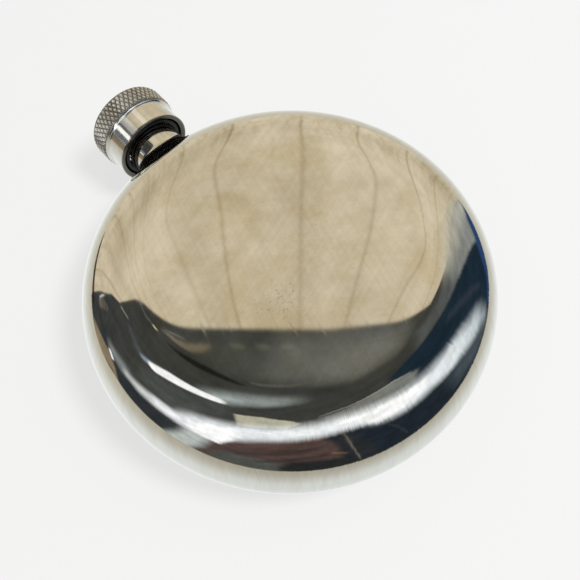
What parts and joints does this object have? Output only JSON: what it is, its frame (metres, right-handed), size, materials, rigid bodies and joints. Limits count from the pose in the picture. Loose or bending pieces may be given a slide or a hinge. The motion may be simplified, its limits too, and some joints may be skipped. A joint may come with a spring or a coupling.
{
  "type": "wine flask",
  "caption": "Round pocket flask of polished stainless steel with a threaded neck on its rim and a diamond-knurled screw cap.",
  "frame": {"origin": "centre of the flat back face that the flask lies on", "axes": "+Z out of the back face towards the front face, +Y along the neck towards the cap, +X across the body"},
  "size_m": [0.096, 0.1132, 0.0279],
  "materials": {
    "polished_steel": "mirror polished with fine hairline scratches",
    "turned_steel": "turned and polished, with a diamond knurl",
    "black_plastic": "moulded, satin",
    "silicone": "soft translucent white"
  },
  "bodies": {
    "flask": {"front_shell": "polished_steel", "rear_shell": "polished_steel", "neck": "turned_steel"},
    "seal": {"cap_seal": "silicone"},
    "cap": {"cap_shell": "turned_steel", "cap_thread_insert": "black_plastic"}
  },
  "joints": [
    {"name": "cap_lift", "type": "slide", "parent": "flask", "child": "seal", "axis": [0, 1, 0], "range_m": [0, 0.0052]},
    {"name": "cap_turn", "type": "hinge", "parent": "seal", "child": "cap", "pos_m": [0, 0.0591, 0.01372], "axis": [0, 1, 0], "range_deg": [0, 1224]}
  ],
  "couplings": [
    {"joint": "cap_lift", "follows": "cap_turn", "m_per_rad": 0.00023873}
  ]
}
